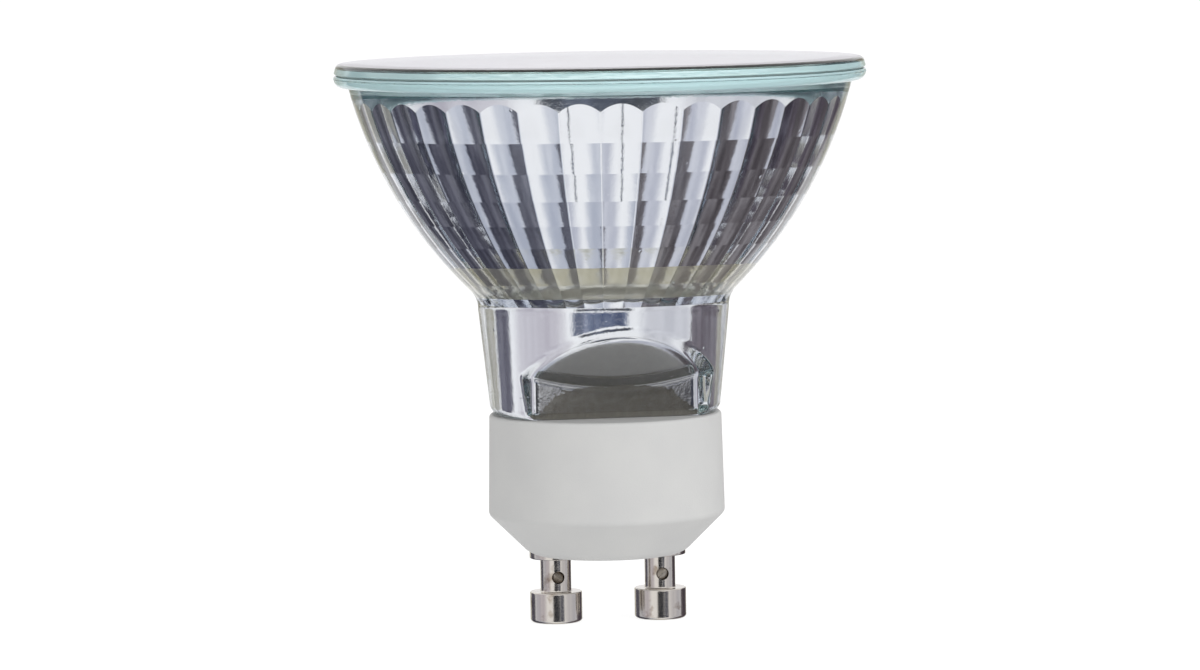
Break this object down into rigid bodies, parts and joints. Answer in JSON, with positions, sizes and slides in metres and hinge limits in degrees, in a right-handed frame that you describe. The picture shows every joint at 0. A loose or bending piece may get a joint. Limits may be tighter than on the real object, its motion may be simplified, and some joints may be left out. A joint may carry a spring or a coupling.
{
  "type": "spotlight bulb",
  "caption": "Mains reflector lamp: clear cover glass on a faceted mirror bowl, recessed glass neck with a halogen capsule, chamfered ceramic base and mushroom-headed twist-lock pins.",
  "frame": {"origin": "on the lamp axis, midway between the pins, level with the pin tips", "axes": "+Z along the lamp axis towards the cover glass, +X from the left pin to the right pin, -Y towards the viewer of the picture"},
  "size_m": [0.05, 0.05, 0.053],
  "materials": {
    "cover_glass": "gloss",
    "lens_seal": "satin",
    "reflector_glass": "gloss",
    "ceramic": "matte",
    "nickel": "polished",
    "solder": "satin",
    "quartz": "gloss",
    "tungsten": "satin",
    "lead_wire": "satin",
    "cement": "matte"
  },
  "bodies": {
    "root": {"cover_glass": "cover_glass", "lens_seal": "lens_seal", "reflector": "reflector_glass", "ceramic_base": "ceramic", "contact_pin_left": "nickel", "contact_pin_right": "nickel", "solder_plug_left": "solder", "solder_plug_right": "solder", "quartz_capsule": "quartz", "filament": "tungsten", "filament_support": "tungsten", "inner_lead_left": "lead_wire", "inner_lead_right": "lead_wire", "seal_foil_left": "lead_wire", "seal_foil_right": "lead_wire", "outer_lead_left": "lead_wire", "outer_lead_right": "lead_wire", "cement_plug": "cement"}
  },
  "joints": []
}
